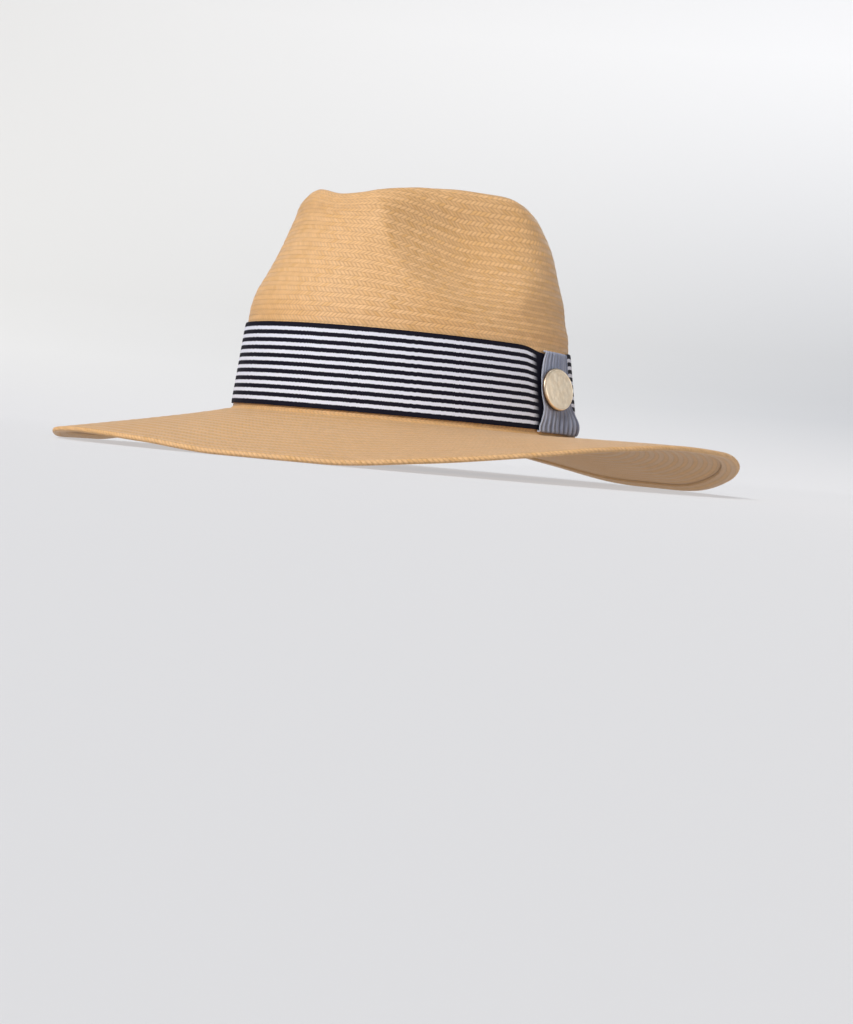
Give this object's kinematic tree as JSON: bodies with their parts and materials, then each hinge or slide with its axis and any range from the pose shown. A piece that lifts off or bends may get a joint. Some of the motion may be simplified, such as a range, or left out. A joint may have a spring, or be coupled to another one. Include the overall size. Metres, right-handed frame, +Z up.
{
  "type": "fedora",
  "caption": "Wide-brim woven straw fedora with a pinched teardrop crown, a striped ribbon hatband, a ribbon keeper and an oval gold-tone badge.",
  "frame": {"origin": "middle of the standing surface under the hat: centre of the brim outline, at the height of the brim edge's lowest parts", "axes": "+Z up through the crown, -Y towards the front of the hat, +X towards the wearer's left"},
  "size_m": [0.3536, 0.385, 0.1509],
  "materials": {
    "straw": "matt woven paper straw, natural tan",
    "ribbon": "woven ribbon, near-black navy and white stripes",
    "gold": "pale gold plating, polished rim"
  },
  "bodies": {
    "root": {"straw_body": "straw", "hatband": "ribbon", "keeper": "ribbon", "badge": "gold"}
  },
  "joints": []
}
